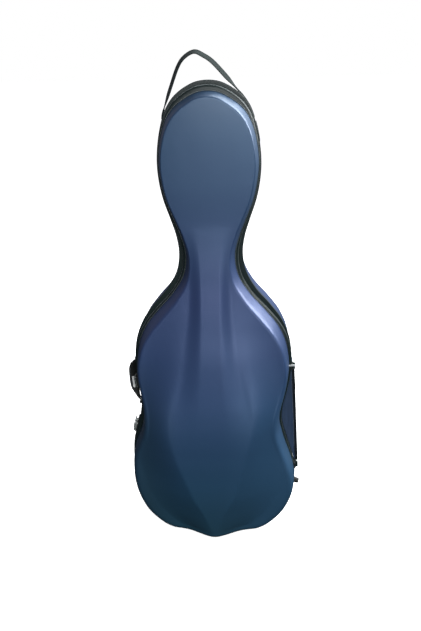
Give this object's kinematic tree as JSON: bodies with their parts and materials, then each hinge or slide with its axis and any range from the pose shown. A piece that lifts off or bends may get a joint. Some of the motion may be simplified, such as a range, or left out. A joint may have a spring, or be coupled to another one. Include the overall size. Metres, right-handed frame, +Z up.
{
  "type": "cello hard case",
  "caption": "Moulded hard case for a cello: two half shells in edge rims, hinged on one side, with draw latches, folding side handle, head strap, side pocket, rubber feet and a padded interior.",
  "frame": {"origin": "middle of the footprint, at floor level, with the case standing upright on its four lower feet", "axes": "+Z up to the head, -Y out of the front of the lid, +X to the hinge side, which is the right side seen from the front"},
  "size_m": [0.5317, 0.279, 1.436],
  "materials": {
    "shell_blue": "satin",
    "rim_black": "satin",
    "rubber": "matte",
    "plush": "matte",
    "plush_grey": "matte",
    "steel": "polished",
    "webbing": "matte",
    "pocket_fabric": "matte"
  },
  "bodies": {
    "case": {"back_shell": "shell_blue", "back_rim": "rim_black", "rim_gasket": "rubber", "back_lining": "plush", "hinge_upper_back_leaf": "rim_black", "hinge_upper_pin": "steel", "hinge_lower_back_leaf": "rim_black", "hinge_lower_pin": "steel", "latch_upper_base": "steel", "latch_waist_base": "steel", "latch_lower_base": "steel", "side_handle_bracket_upper": "rim_black", "side_handle_bracket_lower": "rim_black", "head_strap": "webbing", "head_strap_anchor_left": "webbing", "head_strap_anchor_right": "webbing", "side_pocket": "pocket_fabric", "pocket_binding_front": "webbing", "pocket_zip": "webbing", "side_foot_lower": "rubber", "base_foot_rear_left": "rubber", "base_foot_rear_right": "rubber", "back_ring_tab_upper": "rim_black", "back_ring_tab_lower_left": "rim_black", "back_ring_tab_lower_right": "rim_black", "end_pad": "plush_grey", "upper_bout_pad_left": "plush_grey", "upper_bout_pad_right": "plush_grey", "neck_cradle": "plush_grey", "neck_strap": "webbing", "scroll_pad": "plush_grey"},
    "lid": {"lid_shell": "shell_blue", "lid_rim": "rim_black", "lid_lining": "plush", "hinge_upper_lid_leaf": "rim_black", "hinge_lower_lid_leaf": "rim_black", "hinge_upper_clip": "steel", "latch_upper_keeper": "steel", "latch_waist_keeper": "steel", "latch_lower_keeper": "steel", "base_foot_front_left": "rubber", "base_foot_front_right": "rubber", "bow_clip_base_left": "plush_grey", "bow_clip_base_right": "plush_grey", "bow_tip_sleeve_left": "plush_grey", "bow_tip_sleeve_right": "plush_grey"},
    "latch_upper_lever": {"latch_upper_lever": "steel"},
    "latch_upper_bail": {"latch_upper_bail": "steel"},
    "latch_waist_lever": {"latch_waist_lever": "steel"},
    "latch_waist_bail": {"latch_waist_bail": "steel"},
    "latch_lower_lever": {"latch_lower_lever": "steel"},
    "latch_lower_bail": {"latch_lower_bail": "steel"},
    "side_handle": {"side_handle": "rubber", "side_handle_plate": "steel"},
    "pocket_slider": {"pocket_slider": "steel"},
    "back_ring_upper": {"back_ring_upper": "steel"},
    "back_ring_lower_left": {"back_ring_lower_left": "steel"},
    "back_ring_lower_right": {"back_ring_lower_right": "steel"},
    "bow_clip_turn_left": {"bow_clip_turn_left": "rim_black"},
    "bow_clip_turn_right": {"bow_clip_turn_right": "rim_black"}
  },
  "joints": [
    {"name": "lid_hinge", "type": "hinge", "parent": "case", "child": "lid", "pos_m": [0.2388, -0.00007, 0.56], "axis": [-0.0459, 0, 0.9989], "range_deg": [0, 110]},
    {"name": "latch_upper_lever_turn", "type": "hinge", "parent": "case", "child": "latch_upper_lever", "pos_m": [-0.23337, 0.00793, 0.50199], "axis": [-0.1529, 0, 0.9882], "range_deg": [0, 145]},
    {"name": "latch_upper_bail_turn", "type": "hinge", "parent": "latch_upper_lever", "child": "latch_upper_bail", "pos_m": [-0.23298, 0.01393, 0.50205], "axis": [-0.1529, 0, 0.9882], "range_deg": [-153, 0]},
    {"name": "latch_waist_lever_turn", "type": "hinge", "parent": "case", "child": "latch_waist_lever", "pos_m": [-0.24601, 0.00793, 0.35004], "axis": [0.2754, 0, 0.9613], "range_deg": [0, 145]},
    {"name": "latch_waist_bail_turn", "type": "hinge", "parent": "latch_waist_lever", "child": "latch_waist_bail", "pos_m": [-0.24563, 0.01393, 0.34993], "axis": [0.2754, 0, 0.9613], "range_deg": [-153, 0]},
    {"name": "latch_lower_lever_turn", "type": "hinge", "parent": "case", "child": "latch_lower_lever", "pos_m": [-0.24783, 0.00793, 0.13809], "axis": [-0.2891, 0, 0.9573], "range_deg": [0, 145]},
    {"name": "latch_lower_bail_turn", "type": "hinge", "parent": "latch_lower_lever", "child": "latch_lower_bail", "pos_m": [-0.24745, 0.01393, 0.13821], "axis": [-0.2891, 0, 0.9573], "range_deg": [-153, 0]},
    {"name": "side_handle_swing", "type": "hinge", "parent": "case", "child": "side_handle", "pos_m": [-0.2308, 0.03393, 0.488], "axis": [-0.0442, 0, 0.999], "range_deg": [-20, 95]},
    {"name": "pocket_slider_slide", "type": "slide", "parent": "case", "child": "pocket_slider", "axis": [0.0513, 0, -0.9987], "range_m": [0, 0.19]},
    {"name": "back_ring_upper_swing", "type": "hinge", "parent": "case", "child": "back_ring_upper", "pos_m": [0.0006, 0.08139, 1.01032], "axis": [1, 0, 0], "range_deg": [0, 160]},
    {"name": "back_ring_lower_left_swing", "type": "hinge", "parent": "case", "child": "back_ring_lower_left", "pos_m": [-0.1114, 0.13533, 0.16994], "axis": [1, 0, 0], "range_deg": [0, 160]},
    {"name": "back_ring_lower_right_swing", "type": "hinge", "parent": "case", "child": "back_ring_lower_right", "pos_m": [0.1126, 0.13533, 0.16994], "axis": [1, 0, 0], "range_deg": [0, 160]},
    {"name": "bow_clip_turn_left", "type": "hinge", "parent": "lid", "child": "bow_clip_turn_left", "pos_m": [-0.1674, -0.07092, 0.262], "axis": [0, 1, 0], "range_deg": [0, 90]},
    {"name": "bow_clip_turn_right", "type": "hinge", "parent": "lid", "child": "bow_clip_turn_right", "pos_m": [0.1686, -0.06617, 0.262], "axis": [0, 1, 0], "range_deg": [0, 90]}
  ],
  "couplings": [
    {"joint": "latch_upper_bail_turn", "follows": "latch_upper_lever_turn", "ratio": -1.05},
    {"joint": "latch_waist_bail_turn", "follows": "latch_waist_lever_turn", "ratio": -1.05},
    {"joint": "latch_lower_bail_turn", "follows": "latch_lower_lever_turn", "ratio": -1.05}
  ]
}
